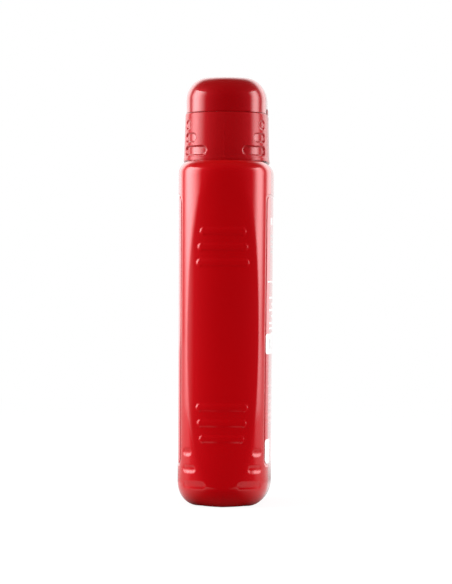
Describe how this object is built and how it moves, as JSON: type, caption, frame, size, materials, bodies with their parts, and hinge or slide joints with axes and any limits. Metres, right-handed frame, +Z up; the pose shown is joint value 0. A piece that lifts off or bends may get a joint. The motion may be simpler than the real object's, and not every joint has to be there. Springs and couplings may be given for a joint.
{
  "type": "shower gel bottle",
  "caption": "Flat oval plastic bottle with scooped grip sides, recessed label panels and a tall flip-top closure on a living hinge.",
  "frame": {"origin": "middle of the bottle's base, on the surface that it stands on", "axes": "+Z up through the closure, -Y towards the front label, +X towards a narrow grip side"},
  "size_m": [0.073, 0.0492, 0.22],
  "materials": {
    "bottle_plastic": "glossy, blow-moulded",
    "gel": "clear thick liquid",
    "label_film": "glossy printed film",
    "closure_plastic": "satin, finely textured",
    "lid_plastic": "polished"
  },
  "bodies": {
    "bottle": {"bottle_body": "bottle_plastic", "gel_fill": "gel", "front_label": "label_film", "back_label": "label_film", "closure_base": "closure_plastic", "living_hinge": "closure_plastic"},
    "lid": {"flip_lid": "lid_plastic"}
  },
  "joints": [
    {"name": "lid_hinge", "type": "hinge", "parent": "bottle", "child": "lid", "pos_m": [0, 0.0211, 0.2017], "axis": [-1, 0, 0], "range_deg": [0, 135], "deforming": ["living_hinge"]}
  ]
}
